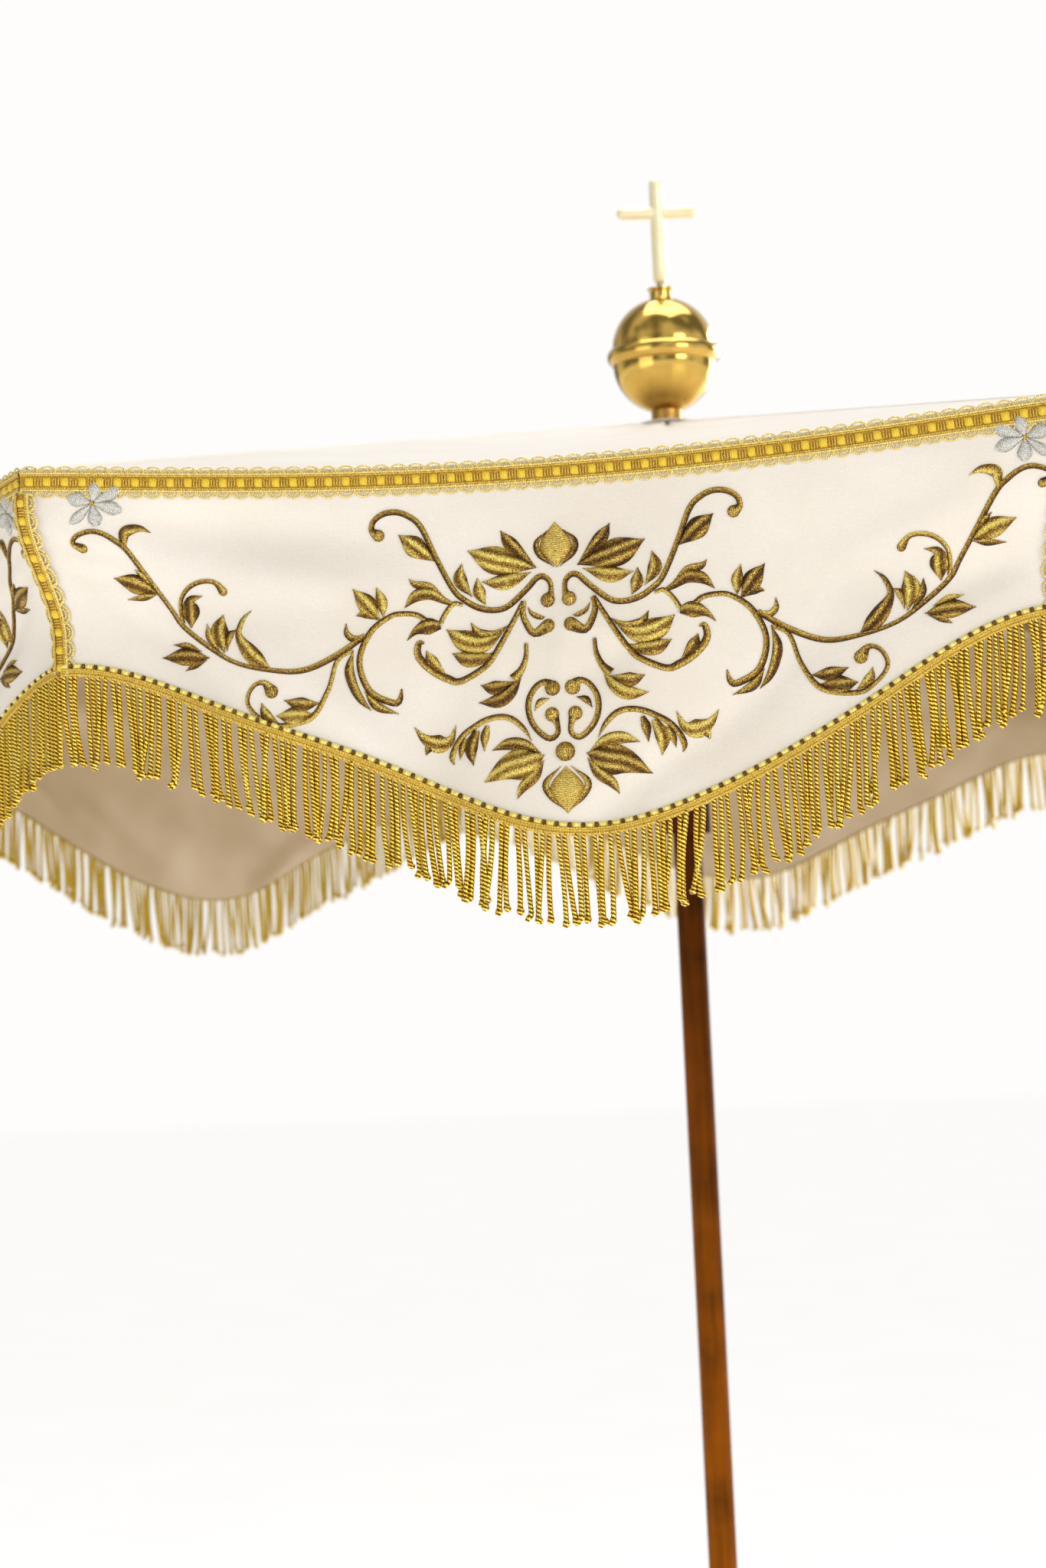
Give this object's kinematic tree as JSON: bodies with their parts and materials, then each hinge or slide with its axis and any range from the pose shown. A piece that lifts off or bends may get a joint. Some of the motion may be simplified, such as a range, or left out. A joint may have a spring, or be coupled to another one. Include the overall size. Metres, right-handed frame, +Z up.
{
  "type": "processional umbrella canopy",
  "caption": "Octagonal ceremonial umbrella canopy on folding ribs, with a scalloped, fringed valance, a wooden pole and an orb-and-cross finial.",
  "frame": {"origin": "middle of the pole's flat foot", "axes": "+Z up along the pole; one valance panel faces -Y, so +X is its right-hand side seen from the front"},
  "size_m": [1.4588, 1.4588, 2.2227],
  "materials": {
    "polished_brass": "mirror polished",
    "gilt_cross": "pale gilt, bright",
    "brass_fittings": "satin",
    "steel": "plain wire",
    "rib_metal": "brass-washed steel, satin",
    "pole_wood": "stained and varnished",
    "runner_wood": "dark stained and varnished",
    "covered_cap": "satin covered",
    "ivory_satin": "heavy satin, lined and embroidered",
    "gold_thread": "metallic thread"
  },
  "bodies": {
    "pole": {"finial_cross": "gilt_cross", "finial_collar": "polished_brass", "orb_upper_shell": "polished_brass", "orb_bead_ring": "polished_brass", "orb_lower_shell": "polished_brass", "finial_stud": "steel", "top_ferrule": "polished_brass", "crown_cap": "covered_cap", "crown_hub": "brass_fittings", "crown_pivot_ring": "steel", "upper_pole": "pole_wood", "coupling_socket": "brass_fittings", "coupling_spigot": "brass_fittings", "lower_pole": "pole_wood", "foot_ferrule": "brass_fittings"},
    "runner": {"runner_hub": "runner_wood", "runner_sleeve": "brass_fittings", "runner_pivot_ring": "steel", "thumb_screw_insert": "brass_fittings"},
    "lock_screw": {"thumb_screw": "brass_fittings"},
    "rib_1": {"rib_1": "rib_metal", "roof_gore_1": "ivory_satin", "valance_panel_1": "ivory_satin", "valance_trim_1": "gold_thread"},
    "stretcher_1": {"stretcher_1": "rib_metal"},
    "rib_2": {"rib_2": "rib_metal", "roof_gore_2": "ivory_satin", "valance_panel_2": "ivory_satin", "valance_trim_2": "gold_thread"},
    "stretcher_2": {"stretcher_2": "rib_metal"},
    "rib_3": {"rib_3": "rib_metal", "roof_gore_3": "ivory_satin", "valance_panel_3": "ivory_satin", "valance_trim_3": "gold_thread"},
    "stretcher_3": {"stretcher_3": "rib_metal"},
    "rib_4": {"rib_4": "rib_metal", "roof_gore_4": "ivory_satin", "valance_panel_4": "ivory_satin", "valance_trim_4": "gold_thread"},
    "stretcher_4": {"stretcher_4": "rib_metal"},
    "rib_5": {"rib_5": "rib_metal", "roof_gore_5": "ivory_satin", "valance_panel_5": "ivory_satin", "valance_trim_5": "gold_thread"},
    "stretcher_5": {"stretcher_5": "rib_metal"},
    "rib_6": {"rib_6": "rib_metal", "roof_gore_6": "ivory_satin", "valance_panel_6": "ivory_satin", "valance_trim_6": "gold_thread"},
    "stretcher_6": {"stretcher_6": "rib_metal"},
    "rib_7": {"rib_7": "rib_metal", "roof_gore_7": "ivory_satin", "valance_panel_7": "ivory_satin", "valance_trim_7": "gold_thread"},
    "stretcher_7": {"stretcher_7": "rib_metal"},
    "rib_8": {"rib_8": "rib_metal", "roof_gore_8": "ivory_satin", "valance_panel_8": "ivory_satin", "valance_trim_8": "gold_thread"},
    "stretcher_8": {"stretcher_8": "rib_metal"}
  },
  "joints": [
    {"name": "runner_slide", "type": "slide", "parent": "pole", "child": "runner", "axis": [0, 0, 1], "range_m": [-0.54113, 0]},
    {"name": "rib_1_hinge", "type": "hinge", "parent": "pole", "child": "rib_1", "pos_m": [-0.00765, -0.01848, 2.018], "axis": [0.9239, -0.3827, 0], "range_deg": [0, 77.22], "deforming": ["roof_gore_1", "valance_panel_1", "valance_trim_1"]},
    {"name": "rib_2_hinge", "type": "hinge", "parent": "pole", "child": "rib_2", "pos_m": [0.00765, -0.01848, 2.018], "axis": [0.9239, 0.3827, 0], "range_deg": [0, 77.22], "deforming": ["roof_gore_2", "valance_panel_2", "valance_trim_2"]},
    {"name": "rib_3_hinge", "type": "hinge", "parent": "pole", "child": "rib_3", "pos_m": [0.01848, -0.00765, 2.018], "axis": [0.3827, 0.9239, 0], "range_deg": [0, 77.22], "deforming": ["roof_gore_3", "valance_panel_3", "valance_trim_3"]},
    {"name": "rib_4_hinge", "type": "hinge", "parent": "pole", "child": "rib_4", "pos_m": [0.01848, 0.00765, 2.018], "axis": [-0.3827, 0.9239, 0], "range_deg": [0, 77.22], "deforming": ["roof_gore_4", "valance_panel_4", "valance_trim_4"]},
    {"name": "rib_5_hinge", "type": "hinge", "parent": "pole", "child": "rib_5", "pos_m": [0.00765, 0.01848, 2.018], "axis": [-0.9239, 0.3827, 0], "range_deg": [0, 77.22], "deforming": ["roof_gore_5", "valance_panel_5", "valance_trim_5"]},
    {"name": "rib_6_hinge", "type": "hinge", "parent": "pole", "child": "rib_6", "pos_m": [-0.00765, 0.01848, 2.018], "axis": [-0.9239, -0.3827, 0], "range_deg": [0, 77.22], "deforming": ["roof_gore_6", "valance_panel_6", "valance_trim_6"]},
    {"name": "rib_7_hinge", "type": "hinge", "parent": "pole", "child": "rib_7", "pos_m": [-0.01848, 0.00765, 2.018], "axis": [-0.3827, -0.9239, 0], "range_deg": [0, 77.22], "deforming": ["roof_gore_7", "valance_panel_7", "valance_trim_7"]},
    {"name": "rib_8_hinge", "type": "hinge", "parent": "pole", "child": "rib_8", "pos_m": [-0.01848, -0.00765, 2.018], "axis": [0.3827, -0.9239, 0], "range_deg": [0, 77.22], "deforming": ["roof_gore_8", "valance_panel_8", "valance_trim_8"]},
    {"name": "stretcher_1_hinge", "type": "hinge", "parent": "rib_1", "child": "stretcher_1", "pos_m": [-0.15326, -0.37, 1.95923], "axis": [0.9239, -0.3827, 0], "range_deg": [-134, 0]},
    {"name": "stretcher_2_hinge", "type": "hinge", "parent": "rib_2", "child": "stretcher_2", "pos_m": [0.15326, -0.37, 1.95923], "axis": [0.9239, 0.3827, 0], "range_deg": [-134, 0]},
    {"name": "stretcher_3_hinge", "type": "hinge", "parent": "rib_3", "child": "stretcher_3", "pos_m": [0.37, -0.15326, 1.95923], "axis": [0.3827, 0.9239, 0], "range_deg": [-134, 0]},
    {"name": "stretcher_4_hinge", "type": "hinge", "parent": "rib_4", "child": "stretcher_4", "pos_m": [0.37, 0.15326, 1.95923], "axis": [-0.3827, 0.9239, 0], "range_deg": [-134, 0]},
    {"name": "stretcher_5_hinge", "type": "hinge", "parent": "rib_5", "child": "stretcher_5", "pos_m": [0.15326, 0.37, 1.95923], "axis": [-0.9239, 0.3827, 0], "range_deg": [-134, 0]},
    {"name": "stretcher_6_hinge", "type": "hinge", "parent": "rib_6", "child": "stretcher_6", "pos_m": [-0.15326, 0.37, 1.95923], "axis": [-0.9239, -0.3827, 0], "range_deg": [-134, 0]},
    {"name": "stretcher_7_hinge", "type": "hinge", "parent": "rib_7", "child": "stretcher_7", "pos_m": [-0.37, 0.15326, 1.95923], "axis": [-0.3827, -0.9239, 0], "range_deg": [-134, 0]},
    {"name": "stretcher_8_hinge", "type": "hinge", "parent": "rib_8", "child": "stretcher_8", "pos_m": [-0.37, -0.15326, 1.95923], "axis": [0.3827, -0.9239, 0], "range_deg": [-134, 0]},
    {"name": "thumb_screw_turn", "type": "hinge", "parent": "runner", "child": "lock_screw", "pos_m": [0, 0.025, 1.7165], "axis": [0, 1, 0], "continuous": true}
  ],
  "couplings": [
    {"joint": "rib_1_hinge", "follows": "runner_slide", "rad_per_m": -2.4906},
    {"joint": "rib_2_hinge", "follows": "runner_slide", "rad_per_m": -2.4906},
    {"joint": "rib_3_hinge", "follows": "runner_slide", "rad_per_m": -2.4906},
    {"joint": "rib_4_hinge", "follows": "runner_slide", "rad_per_m": -2.4906},
    {"joint": "rib_5_hinge", "follows": "runner_slide", "rad_per_m": -2.4906},
    {"joint": "rib_6_hinge", "follows": "runner_slide", "rad_per_m": -2.4906},
    {"joint": "rib_7_hinge", "follows": "runner_slide", "rad_per_m": -2.4906},
    {"joint": "rib_8_hinge", "follows": "runner_slide", "rad_per_m": -2.4906},
    {"joint": "stretcher_1_hinge", "follows": "runner_slide", "rad_per_m": 4.322},
    {"joint": "stretcher_2_hinge", "follows": "runner_slide", "rad_per_m": 4.322},
    {"joint": "stretcher_3_hinge", "follows": "runner_slide", "rad_per_m": 4.322},
    {"joint": "stretcher_4_hinge", "follows": "runner_slide", "rad_per_m": 4.322},
    {"joint": "stretcher_5_hinge", "follows": "runner_slide", "rad_per_m": 4.322},
    {"joint": "stretcher_6_hinge", "follows": "runner_slide", "rad_per_m": 4.322},
    {"joint": "stretcher_7_hinge", "follows": "runner_slide", "rad_per_m": 4.322},
    {"joint": "stretcher_8_hinge", "follows": "runner_slide", "rad_per_m": 4.322}
  ]
}
